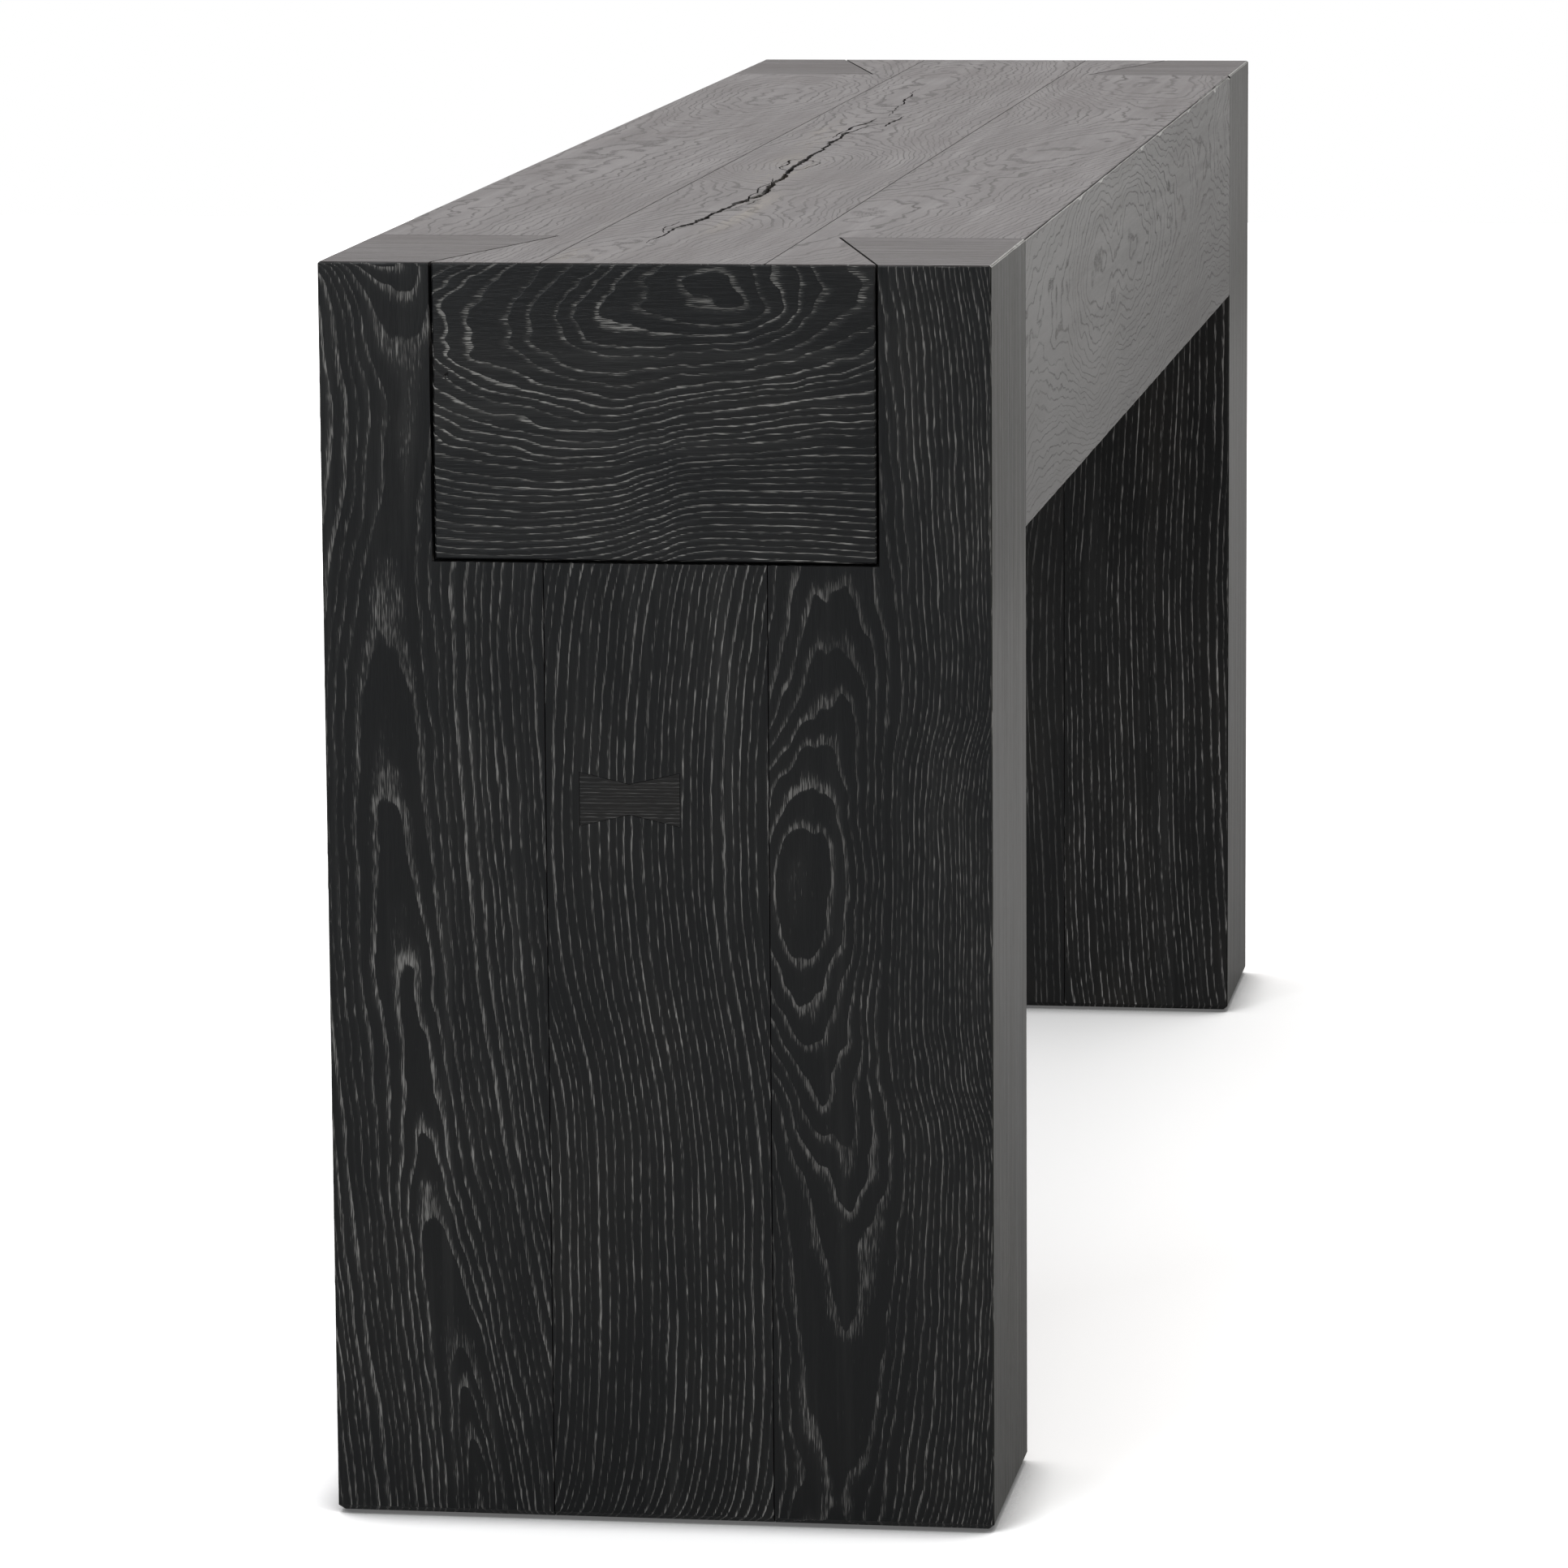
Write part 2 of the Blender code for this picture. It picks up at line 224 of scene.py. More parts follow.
def makePaper():  # the camera sees it bright, and the wood's gloss sees it dimmer
    paper = bpy.data.materials.new("whitePaper")
    paper.use_nodes = True
    tree = paper.node_tree
    tree.nodes.clear()
    # painted shadow: near the feet the floor's colour turns dark, by how close ambient occlusion
    # finds them
    near = put(tree, "ShaderNodeAmbientOcclusion", {"Distance": studio["contact"]}, samples=8)
    near = fade(tree, near.outputs["AO"], *studio["contactShade"])
    white = blend(tree, near, studio["paintedShadowColour"], (studio["floorLit"],) * 3)
    lit = put(tree, "ShaderNodeBsdfDiffuse", {"Color": white})
    away = vectorCalc(tree, "LENGTH", objectPlace(tree)).outputs["Value"]
    glow = fade(tree, away, *studio["floorFade"], studio["floorGlow"], 1.0)
    glow = put(tree, "ShaderNodeEmission", {"Strength": glow})
    seen = put(tree, "ShaderNodeAddShader", {0: lit.outputs[0], 1: glow.outputs[0]})
    dim = put(tree, "ShaderNodeBsdfDiffuse", {"Color": (studio["floorSeenByWood"],) * 3 + (1,)})
    camera = put(tree, "ShaderNodeLightPath").outputs["Is Camera Ray"]
    inputs = {0: camera, 1: dim.outputs[0], 2: seen.outputs[0]}
    both = put(tree, "ShaderNodeMixShader", inputs)
    put(tree, "ShaderNodeOutputMaterial", {"Surface": both.outputs[0]})
    return paper


def addFloor():
    shape = bmesh.new()
    bmesh.ops.create_grid(shape, x_segments=1, y_segments=1, size=studio["floorSize"] / 2)
    mesh = bpy.data.meshes.new("floor")
    shape.to_mesh(mesh)
    shape.free()
    mesh.materials.append(makePaper())
    floor = bpy.data.objects.new("floor", mesh)
    bpy.context.scene.collection.objects.link(floor)


addCamera()
addSky()
addFloor()
for name, settings in softboxes.items():
    addSoftbox(name, settings)
bpy.context.scene.view_settings.view_transform = "Standard"
print("studio ready")


# The oak's grain. Sizes given three ways are how often a pattern changes in a metre:
# along the grain, across it and into the board.

grainLook = {
    "wander": (2.2, 5.0, 5.0),
    "heartEdge": 0.3,  # from this share of the reach on, the figure calms down
    "calm": 0.2,  # how much of the curl is left away from the heart
    "intoBoard": 0.6,
    "curl": (11.0, 34.0, 34.0),
    "ripple": (26.0, 42.0, 42.0),
    "pace": 0.27,  # how soon the width of the rings changes
    "paceShift": 1.6,
    "faintest": 0.65,  # the palest year, against the strongest
    "springStart": 0.07,
    "springFull": 0.13,
    "pore": (95.0, 2100.0, 2100.0),
    "poreClump": (24.0, 600.0, 600.0),
    "clumping": 0.40,
    "summerLimit": 0.27,  # the higher, the fewer pores
    "springDrop": -0.38,
    "poreEdge": 0.16,
}


def openGroup(name, inputs, outputs):
    kinds = {float: "NodeSocketFloat", tuple: "NodeSocketColor", type(None): "NodeSocketVector"}
    tree = bpy.data.node_groups.new(name, "ShaderNodeTree")
    for label, value in inputs.items():
        kind = kinds[type(value)]
        socket = tree.interface.new_socket(label, in_out="INPUT", socket_type=kind)
        if value is not None:
            socket.default_value = (*value, 1) if isinstance(value, tuple) else value
    for label in outputs:
        kind = "NodeSocketColor" if label == "Color" else "NodeSocketFloat"
        tree.interface.new_socket(label, in_out="OUTPUT", socket_type=kind)
    given = tree.nodes.new("NodeGroupInput").outputs
    return tree, given, tree.nodes.new("NodeGroupOutput").inputs


def stretched(tree, parts, seed, scales):  # a place measured in lengths of its own each way
    along, across, into = scales
    inputs = {
        "X": calc(tree, "MULTIPLY_ADD", parts[0], along, seed),
        "Y": calc(tree, "MULTIPLY_ADD", parts[1], across, seed),
        "Z": calc(tree, "MULTIPLY", parts[2], into),
    }
    return put(tree, "ShaderNodeCombineXYZ", inputs).outputs[0]


def cloud(tree, parts, seed, scales, detail, roughness=0.5):  # noise, from about -0.5 to 0.5
    inputs = {
        "Vector": stretched(tree, parts, seed, scales),
        "Scale": 1.0,
        "Detail": detail,
        "Roughness": roughness,
    }
    fog = put(tree, "ShaderNodeTexNoise", inputs)
    return calc(tree, "SUBTRACT", fog.outputs["Fac"], 0.5)


def ringHeight(tree, given, place, across):
    # how far out from the tree's core a place lies, which is what the rings follow
    seed = given["Seed"]
    offHeart = calc(tree, "SUBTRACT", across, given["Heart"])
    share = calc(tree, "DIVIDE", calc(tree, "ABSOLUTE", offHeart), given["Reach"])
    nearHeart = fade(tree, share, grainLook["heartEdge"], 1.0, 1.0, 0.0)
    deeper = calc(tree, "SUBTRACT", given["Depth"], given["Beyond"])
    depth = calc(tree, "MULTIPLY_ADD", deeper, nearHeart, given["Beyond"])
    unrest = calc(tree, "MULTIPLY_ADD", nearHeart, 1 - grainLook["calm"], grainLook["calm"])
    squares = [calc(tree, "MULTIPLY", side, side) for side in (offHeart, depth)]
    arch = calc(tree, "SQRT", calc(tree, "ADD", *squares))
    height = calc(tree, "MULTIPLY", arch, given["Steep"])
    height = calc(tree, "MULTIPLY_ADD", offHeart, given["Skew"], height)
    height = calc(tree, "MULTIPLY_ADD", place["Z"], grainLook["intoBoard"], height)
    curl = cloud(tree, place, seed, grainLook["curl"], 2.0, 0.55)
    amount = calc(tree, "MULTIPLY", given["Curl"], unrest)
    height = calc(tree, "MULTIPLY_ADD", curl, amount, height)
    ripple = cloud(tree, place, seed, grainLook["ripple"], 2.0)
    amount = calc(tree, "MULTIPLY", given["Ripple"], unrest)
    return calc(tree, "MULTIPLY_ADD", ripple, amount, height)


def springWood(tree, given, height):  # year rings: some wide, some narrow, some faint
    seed = given["Seed"]
    years = calc(tree, "DIVIDE", height, given["Ring Gap"])
    slow = calc(tree, "MULTIPLY_ADD", years, grainLook["pace"], seed)
    inputs = {"W": slow, "Scale": 1.0, "Detail": 1.0}
    pace = put(tree, "ShaderNodeTexNoise", inputs, noise_dimensions="1D").outputs["Fac"]
    years = calc(tree, "MULTIPLY_ADD", pace, grainLook["paceShift"], years)
    inputs = {"W": calc(tree, "ADD", calc(tree, "FLOOR", years), seed)}
    vigour = put(tree, "ShaderNodeTexWhiteNoise", inputs, noise_dimensions="1D").outputs["Value"]
    faintest = grainLook["faintest"]
    vigour = calc(tree, "MULTIPLY_ADD", vigour, 1 - faintest, faintest)
    season = calc(tree, "FRACT", years)
    rise = fade(tree, season, 0.0, grainLook["springStart"])
    fall = fade(tree, season, grainLook["springFull"], given["Band"], 1.0, 0.0)
    return calc(tree, "MULTIPLY", calc(tree, "MULTIPLY", rise, fall), vigour)


def makeOakGrain():
    # Position runs along the grain in X, across it in Y and into the board in Z.
    # Heart is where the middle of the figure lies across the board, and Depth how far the
    # tree's core lies under the face there. From Reach on, the depth is Beyond. Steep and Skew
    # set how close the rings stand on the two sides, and Band how much of a ring is spring wood.
    inputs = {
        "Position": None,
        "Heart": 0.0,
        "Depth": 0.02,
        "Beyond": 0.02,
        "Reach": 1.0,
        "Steep": 1.0,
        "Skew": 0.0,
        "Ring Gap": 0.005,
        "Band": 0.46,
        "Drift": 0.010,
        "Curl": 0.004,
        "Ripple": 0.001,
        "Seed": 0.0,
    }
    tree, given, out = openGroup("oakGrain", inputs, ["Pores", "Rings", "Fibres"])
    place = splitPlace(tree, given["Position"])
    seed = given["Seed"]

    # the fibres wander a little, and the rings with them
    slow = cloud(tree, place, seed, grainLook["wander"], 1.0)
    across = calc(tree, "ADD", place["Y"], calc(tree, "MULTIPLY", slow, given["Drift"]))
    spring = springWood(tree, given, ringHeight(tree, given, place, across))

    # pores: short strokes along the grain, crowded in the spring wood and rare in the summer wood
    fibre = (place["X"], across, place["Z"])
    clumps = cloud(tree, fibre, seed, grainLook["poreClump"], 1.0)
    strokes = cloud(tree, fibre, seed, grainLook["pore"], 1.0, 0.6)
    strokes = calc(tree, "ADD", strokes, calc(tree, "MULTIPLY", clumps, grainLook["clumping"]))
    limit = calc(tree, "MULTIPLY_ADD", spring, grainLook["springDrop"], grainLook["summerLimit"])
    pores = fade(tree, calc(tree, "SUBTRACT", strokes, limit), 0.0, grainLook["poreEdge"])
    tree.links.new(pores, out["Pores"])
    tree.links.new(spring, out["Rings"])
    tree.links.new(calc(tree, "ADD", strokes, 0.5), out["Fibres"])
    return tree


# The finish: wood stained black, with lime rubbed into the pores.

finishLook = {
    "patch": (7.0, 14.0, 14.0),
    "patchRange": (-0.22, 0.18),
    "rubbed": (0.45, 1.0),  # how much lime has stayed in the pores, by patch
    "browner": (1.9, 1.7, 1.5),
    "brownRange": (-0.1, 0.3),
    "speck": (60.0, 500.0, 500.0),
    "streak": (3.0, 75.0, 75.0),
    "streakRange": (0.0, 0.25),
    "streakHaze": (0.0, 0.12),
    "ringHaze": (0.01, 0.06),
    # painted highlight: the paler spots round the check, shaped by streaks, and their colour
    "paintedHighlightByStreak": 1.6,
    "paintedHighlightRange": (-0.2, 0.32),
    "paintedHighlightColour": (0.17, 0.148, 0.110),
    "bareByWear": 0.45,
    "bareRange": (0.22, 0.42),
    "bareColour": (0.62, 0.62, 0.60),
    "roughness": 0.36,
    "roughBy": {"patch": 0.16, "streak": 0.20, "rings": 0.10, "pores": 0.35},
    "full": 1.05,  # the sheen where nothing dulls it
    "dullBy": {"pores": 0.62, "rings": 0.16, "speck": 0.55},
    "dullByStreak": (0.4, 0.43),
    "reliefBy": {"fibres": 0.25, "pores": -0.75, "rings": -0.25, "speck": 0.5},
}

gloss = {
    "ior": 1.33,
    "coatRoughness": 0.34,
    "reliefDepth": 0.0006,
    "reliefStrength": 0.75,
}


def makeLimedFinish():
    look = finishLook
    inputs = {
        "Position": None,
        "Pores": 0.0,
        "Rings": 0.0,
        "Fibres": 0.5,
        "Worn": 0.0,
        "Wood": (0.0045, 0.005, 0.0055),
        "Lime": (0.25, 0.245, 0.235),
        "Sheen": 0.40,
        "Streak": 0.3,
        "Painted Highlight": 0.0,
        "Seed": 0.0,
    }
    tree, given, out = openGroup("limedFinish", inputs, ["Color", "Roughness", "Coat", "Height"])
    place = splitPlace(tree, given["Position"])
    seed, pores, rings = given["Seed"], given["Pores"], given["Rings"]
    patch = cloud(tree, place, seed, look["patch"], 3.0, 0.6)
    speck = cloud(tree, place, seed, look["speck"], 3.0)
    streak = cloud(tree, place, seed, look["streak"], 4.0, 0.65)

    # colour
    browner = vectorCalc(tree, "MULTIPLY", given["Wood"], look["browner"]).outputs[0]
    wood = blend(tree, fade(tree, patch, *look["brownRange"]), given["Wood"], browner)
    # painted highlight: the wood turns paler in the given spots, standing in for the top's sheen
    # round the check
    paintedHighlightMask = calc(tree, "ADD", patch, speck)
    paintedHighlightMask = calc(tree, "ADD", paintedHighlightMask, calc(tree, "MULTIPLY", streak, look["paintedHighlightByStreak"]))
    paintedHighlightMask = fade(tree, paintedHighlightMask, *look["paintedHighlightRange"])
    paintedHighlightMask = calc(tree, "MULTIPLY", given["Painted Highlight"], paintedHighlightMask, clamp=True)
    wood = blend(tree, paintedHighlightMask, wood, look["paintedHighlightColour"])
    haze = fade(tree, patch, *look["patchRange"], *look["ringHaze"])
    haze = calc(tree, "MULTIPLY", rings, haze)
    streaks = fade(tree, streak, *look["streakRange"], *look["streakHaze"])
    haze = calc(tree, "ADD", haze, calc(tree, "MULTIPLY", given["Streak"], streaks))
    rubbed = fade(tree, patch, *look["patchRange"], *look["rubbed"])
    rubbed = calc(tree, "MULTIPLY", pores, rubbed)
    limed = blend(tree, calc(tree, "ADD", rubbed, haze, clamp=True), wood, given["Lime"])
    thin = calc(tree, "MULTIPLY_ADD", given["Worn"], look["bareByWear"], speck)
    thin = fade(tree, thin, *look["bareRange"])
    bare = calc(tree, "MULTIPLY", thin, calc(tree, "GREATER_THAN", given["Worn"], 0.01))
    tree.links.new(blend(tree, bare, limed, look["bareColour"]), out["Color"])

    # roughness
    by = look["roughBy"]
    rough = calc(tree, "MULTIPLY_ADD", patch, by["patch"], look["roughness"])
    rough = calc(tree, "MULTIPLY_ADD", streak, by["streak"], rough)
    rough = calc(tree, "MULTIPLY_ADD", rings, by["rings"], rough)
    rough = calc(tree, "MULTIPLY_ADD", pores, by["pores"], rough, clamp=True)
    tree.links.new(rough, out["Roughness"])

    # sheen
    by = look["dullBy"]
    dull = calc(tree, "MULTIPLY", pores, by["pores"])
    dull = calc(tree, "MULTIPLY_ADD", rings, by["rings"], dull)
    dull = calc(tree, "MULTIPLY_ADD", speck, by["speck"], dull)
    dullStreak = calc(tree, "MULTIPLY_ADD", given["Streak"], *look["dullByStreak"])
    dull = calc(tree, "MULTIPLY_ADD", streak, dullStreak, dull)
    left = calc(tree, "SUBTRACT", look["full"], dull)
    tree.links.new(calc(tree, "MULTIPLY", given["Sheen"], left, clamp=True), out["Coat"])

    # relief
    by = look["reliefBy"]
    height = calc(tree, "MULTIPLY", given["Fibres"], by["fibres"])
    height = calc(tree, "MULTIPLY_ADD", pores, by["pores"], height)
    height = calc(tree, "MULTIPLY_ADD", rings, by["rings"], height)
    height = calc(tree, "MULTIPLY_ADD", speck, by["speck"], height)
    height = calc(tree, "MULTIPLY_ADD", streak, given["Streak"], height)
    tree.links.new(height, out["Height"])
    return tree


oakGrain = makeOakGrain()
limedFinish = makeLimedFinish()


# how the pattern is turned on a board, in degrees: grain along, across and into the board
grainTurn = {
    "top": (0, 0, 0),
    "apron": (-90, 0, 0),
    "end": (0, 90, 0),
    "side": (90, 0, 90),
    "tail": (-90, -90, 0),
    "head": (0, 0, -90),
}

grainSockets = {
    "Heart": "heart",
    "Depth": "depth",
    "Beyond": "beyond",
    "Reach": "reach",
    "Steep": "steep",
    "Skew": "skew",
    "Ring Gap": "gap",
    "Band": "band",
    "Drift": "drift",
    "Curl": "curl",
    "Ripple": "ripple",
    "Seed": "seed",
}

finishSockets = {
    "Wood": "wood",
    "Lime": "lime",
    "Sheen": "sheen",
    "Streak": "streak",
    "Seed": "seed",
}


def guide(tree, along, points):  # a smooth line through (place along the grain, value) points
    start, stop = points[0][0], points[-1][0]
    low = min(value for _, value in points)
    high = max(value for _, value in points)
    inputs = {"Value": along, "From Min": start, "From Max": stop}
    share = put(tree, "ShaderNodeMapRange", inputs).outputs["Result"]
    bend = put(tree, "ShaderNodeFloatCurve", {"Value": share})
    line = bend.mapping.curves[0]
    while len(line.points) < len(points):
        line.points.new(0.5, 0.5)
    for point, (place, value) in zip(line.points, points):
        point.location = ((place - start) / (stop - start), (value - low) / (high - low))
    bend.mapping.update()
    return calc(tree, "MULTIPLY_ADD", bend.outputs["Value"], high - low, low)


def feedBoard(tree, group, sockets, board, along):  # a board's own values, where it has them
    for socket, key in sockets.items():
        if key not in board:
            continue
        value = board[key]
        if isinstance(value, list):
            value = guide(tree, along, value)
        if isinstance(value, tuple):
            value = (*value, 1)
        feed(tree, group, socket, value)


def paintedHighlightSpots(tree, place, spots):
    # painted highlight: a paler colour where the top's sheen catches the light round the check,
    # each spot by its centre, half length and half width
    total = 0.0
    for x, y, half, across in spots:
        off = vectorCalc(tree, "SUBTRACT", place, (x, y, topZ)).outputs[0]
        off = vectorCalc(tree, "MULTIPLY", off, (1 / half, 1 / across, 0)).outputs[0]
        away = vectorCalc(tree, "LENGTH", off).outputs["Value"]
        total = calc(tree, "ADD", total, fade(tree, away, 0.1, 1.0, 1.0, 0.0))
    return calc(tree, "MINIMUM", total, 1.0)


def makeOak(name, board):
    oak = bpy.data.materials.new(name)
    oak.use_nodes = True
    tree = oak.node_tree
    shader = tree.nodes["Principled BSDF"]
    turn = [math.radians(degrees) for degrees in grainTurn[board["turn"]]]
    inputs = {"Vector": objectPlace(tree), "Rotation": turn}
    place = put(tree, "ShaderNodeMapping", inputs).outputs["Vector"]
    along = splitPlace(tree, place)["X"]
    grain = put(tree, "ShaderNodeGroup", node_tree=oakGrain)
    feed(tree, grain, "Position", place)
    feedBoard(tree, grain, grainSockets, board, along)
    finish = put(tree, "ShaderNodeGroup", node_tree=limedFinish)
    feed(tree, finish, "Position", place)
    feedBoard(tree, finish, finishSockets, board, along)
    for label in ("Pores", "Rings", "Fibres"):
        feed(tree, finish, label, grain.outputs[label])
    worn = put(tree, "ShaderNodeAttribute", attribute_name="worn", attribute_type="GEOMETRY")
    feed(tree, finish, "Worn", worn.outputs["Fac"])
    if "paintedHighlight" in board:
        feed(tree, finish, "Painted Highlight", paintedHighlightSpots(tree, place, board["paintedHighlight"]))
    inputs = {"Height": finish.outputs["Height"]}
    inputs.update({"Distance": gloss["reliefDepth"], "Strength": gloss["reliefStrength"]})
    bump = put(tree, "ShaderNodeBump", inputs)
    tree.links.new(finish.outputs["Color"], shader.inputs["Base Color"])
    tree.links.new(finish.outputs["Roughness"], shader.inputs["Roughness"])
    tree.links.new(finish.outputs["Coat"], shader.inputs["Coat Weight"])
    tree.links.new(bump.outputs["Normal"], shader.inputs["Normal"])
    shader.inputs["IOR"].default_value = gloss["ior"]
    shader.inputs["Coat IOR"].default_value = gloss["ior"]
    shader.inputs["Coat Roughness"].default_value = gloss["coatRoughness"]
    return oak


# The boards. Each is a copy of its solid, with its arrises rubbed and nicked by use.

arris = {
    "step": 0.010,  # between the points that can move
    "rub": 0.00025,
    "rubPerMetre": 38,
    "nick": 0.0006,
    "nickFrom": 0.22,  # the higher, the fewer nicks
    "nickSpacing": 0.55,
    "slopeFrom": 0.66,  # of a face's normal, on an arris at half a right angle
    "slopeTo": 0.75,
    "round": 0.00025,
    "roundFrom": 20,  # degrees between two faces
    "roundTo": 60,
    "bare": 0.10,
    "bareFront": 0.9,  # on the long arris at the top's front
}

# the joint across the table, where leg and beam meet: open on the top, tight on the sides
shoulder = {
    "x": -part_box("left_leg_cap_front")[1].x,
    "ease": 0.0007,
    "sideEase": 0.0002,
    "cadEase": 0.0006,
    "line": 0.0008,  # what lies this close to it is on it
    "near": 0.002,
    "arris": 0.0012,  # how far in from the leg's sides its own arris reaches
}

legSeam = {"y": sideY / 3, "shift": 0.00028, "near": 0.0004}  # between the leg's boards


def cadCopy(nodeName):  # the solid with its flat faces made whole
    shape = bmesh.new()
    shape.from_mesh(frame["nodes"][nodeName].data)
    bmesh.ops.remove_doubles(shape, verts=shape.verts, dist=tiny)
    flat = math.radians(0.5)
    bmesh.ops.dissolve_limit(shape, angle_limit=flat, verts=shape.verts, edges=shape.edges)
    return shape


def roundOff(shape, edges, width, segments):
    bmesh.ops.bevel(
        shape,
        geom=edges,
        offset=width,
        offset_type="OFFSET",
        affect="EDGES",
        segments=segments,
        profile=0.5,
        material=-1,
        clamp_overlap=True,
    )


def atShoulder(vert, within):
    return abs(abs(vert.co.x) - shoulder["x"]) < within


def easeShoulder(shape):
    def onLine(vert):
        return atShoulder(vert, shoulder["line"]) and topZ - vert.co.z < tiny

    edges = [edge for edge in shape.edges if all(onLine(vert) for vert in edge.verts)]
    roundOff(shape, edges, shoulder["ease"], 1)


def slopes(face):  # the two outward ways that an eased arris lies between, or nothing
    ways = [
        (axis, 1 if part > 0 else -1)
        for axis, part in enumerate(face.normal)
        if arris["slopeFrom"] < abs(part) < arris["slopeTo"]
    ]
    return ways if len(ways) == 2 else None


def sliceUp(shape):  # crosswise cuts, so that the arrises have points to move
    pairs = [slopes(face) for face in shape.faces]
    for axis in {3 - a - b for (a, _), (b, _) in filter(None, pairs)}:
        low = min(vert.co[axis] for vert in shape.verts)
        high = max(vert.co[axis] for vert in shape.verts)
        count = int((high - low) / arris["step"])
        normal = Vector([float(axis == other) for other in range(3)])
        for number in range(1, count):
            spot = normal * (low + (high - low) * number / count)
            parts = [*shape.verts, *shape.edges, *shape.faces]
            bmesh.ops.bisect_plane(shape, geom=parts, dist=tiny, plane_co=spot, plane_no=normal)


def rubAt(place, nick):
    rub = arris["rub"] * (1 + noise.noise(place))
    gouge = noise.noise(place * arris["nickSpacing"] + Vector((9, 9, 9))) - arris["nickFrom"]
    return rub + nick * max(0, gouge)


def wearArrises(shape, nick):
    sliceUp(shape)
    worn = shape.faces.layers.float.new("worn")
    far = {
        (axis, sign): max(sign * vert.co[axis] for vert in shape.verts)
        for axis in range(3)
        for sign in (-1, 1)
    }
    moves = {}
    for face in shape.faces:
        ways = slopes(face)
        if not ways or all(atShoulder(vert, shoulder["near"]) for vert in face.verts):
            continue
        topFront = (1, -1) in ways and (2, 1) in ways
        face[worn] = arris["bareFront"] if topFront else arris["bare"]
        (a, signA), (b, signB) = ways
        lineAxis = 3 - a - b
        if (2, -1) in ways:  # the feet keep their bevel
            continue
        for vert in face.verts:
            along = vert.co[lineAxis] * arris["rubPerMetre"]
            rub = rubAt(Vector((along, a * 5.3 + signA, b * 3.1 + signB)), nick)
            onA = far[a, signA] - signA * vert.co[a] < 2 * tiny
            onB = far[b, signB] - signB * vert.co[b] < 2 * tiny
            move = moves.setdefault(vert, [0, 0, 0])
            if not onA:
                move[a] = -signA * (rub if onB else rub / 2)
            if not onB:
                move[b] = -signB * (rub if onA else rub / 2)
    for vert, move in moves.items():
        vert.co += Vector(move)


def shiftSeams(shape):  # the joints between the leg's boards lie a hair further out
    for vert in shape.verts:
        if abs(abs(vert.co.y) - legSeam["y"]) < legSeam["near"]:
            vert.co.y += math.copysign(legSeam["shift"], vert.co.y)


def tightenShoulder(shape):  # on the leg's sides, a finer arris there
    for vert in shape.verts:
        inside = sideY - abs(vert.co.y)
        if not atShoulder(vert, shoulder["near"]) or inside >= shoulder["arris"]:
            continue
        if inside < tiny:
            x = shoulder["x"] + shoulder["cadEase"] + shoulder["sideEase"]
            vert.co.x = math.copysign(x, vert.co.x)
        else:
            vert.co.y = math.copysign(sideY - shoulder["sideEase"], vert.co.y)


def keepInside(shape):  # nothing outside the table's own box
    for vert in shape.verts:
        vert.co = [min(max(at, low), high) for at, low, high in zip(vert.co, cadLow, cadHigh)]


def finishBoard(nodeName, shape, material):
    mesh = bpy.data.meshes.new(nodeName + "_wood")
    shape.to_mesh(mesh)
    shape.free()
    mesh.materials.append(material)
    piece = bpy.data.objects.new(nodeName + "_wood", mesh)
    bpy.context.scene.collection.objects.link(piece)
    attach(piece, "root")
    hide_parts(nodeName)
    return piece


def makeBoard(nodeName, board):
    shape = cadCopy(nodeName)
    if board["turn"] in ("head", "top"):
        easeShoulder(shape)
    wearArrises(shape, board.get("nick", arris["nick"]))
    if board["turn"] == "end":
        shiftSeams(shape)
    if board["turn"] == "side":
        tightenShoulder(shape)
    least, most = math.radians(arris["roundFrom"]), math.radians(arris["roundTo"])
    sharp = [edge for edge in shape.edges if least < edge.calc_face_angle(0) < most]
    roundOff(shape, sharp, arris["round"], 2)
    keepInside(shape)
    return finishBoard(nodeName, shape, makeOak(nodeName + "Oak", board))


# Cuts in the boards: the natural check in the top's centre board, the widest and deepest in its
# middle, with the splits beside it; a beetle's holes near the far end; a dent in the beam's end.

